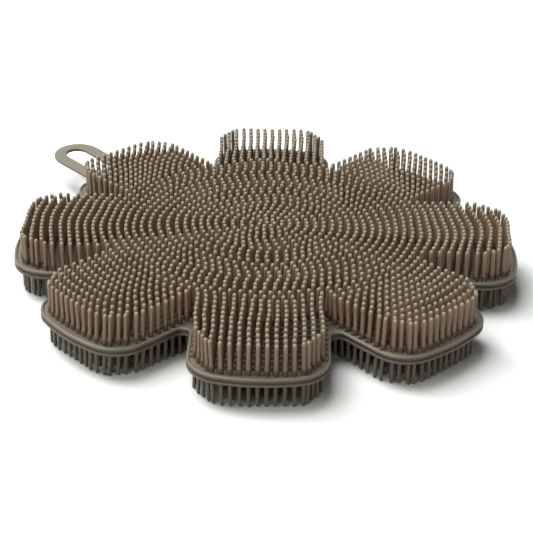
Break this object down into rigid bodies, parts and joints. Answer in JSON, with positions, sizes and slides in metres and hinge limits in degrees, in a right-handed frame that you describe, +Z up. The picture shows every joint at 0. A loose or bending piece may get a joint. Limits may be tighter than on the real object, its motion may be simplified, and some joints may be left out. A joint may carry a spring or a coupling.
{
  "type": "silicone scrubber",
  "caption": "Flower-shaped, double-sided silicone scrubber with concentric bristles on both faces and a flat hanging loop.",
  "frame": {"origin": "centre of the flower on the plane that the lower bristles stand on", "axes": "+Z up through the bristles, +Y along the petal that carries the hanging loop, +X to the right of it"},
  "size_m": [0.136, 0.1587, 0.0173],
  "materials": {
    "silicone_sheet": "satin",
    "silicone_bristles": "satin"
  },
  "bodies": {
    "root": {"web": "silicone_sheet", "rim": "silicone_sheet", "hanging_loop": "silicone_sheet", "top_bristles_centre": "silicone_bristles", "top_bristles_petal_1": "silicone_bristles", "top_bristles_petal_2": "silicone_bristles", "top_bristles_petal_3": "silicone_bristles", "top_bristles_petal_4": "silicone_bristles", "top_bristles_petal_5": "silicone_bristles", "top_bristles_petal_6": "silicone_bristles", "top_bristles_petal_7": "silicone_bristles", "top_bristles_petal_8": "silicone_bristles", "bottom_bristles_centre": "silicone_bristles", "bottom_bristles_petal_1": "silicone_bristles", "bottom_bristles_petal_2": "silicone_bristles", "bottom_bristles_petal_3": "silicone_bristles", "bottom_bristles_petal_4": "silicone_bristles", "bottom_bristles_petal_5": "silicone_bristles", "bottom_bristles_petal_6": "silicone_bristles", "bottom_bristles_petal_7": "silicone_bristles", "bottom_bristles_petal_8": "silicone_bristles"}
  },
  "joints": []
}
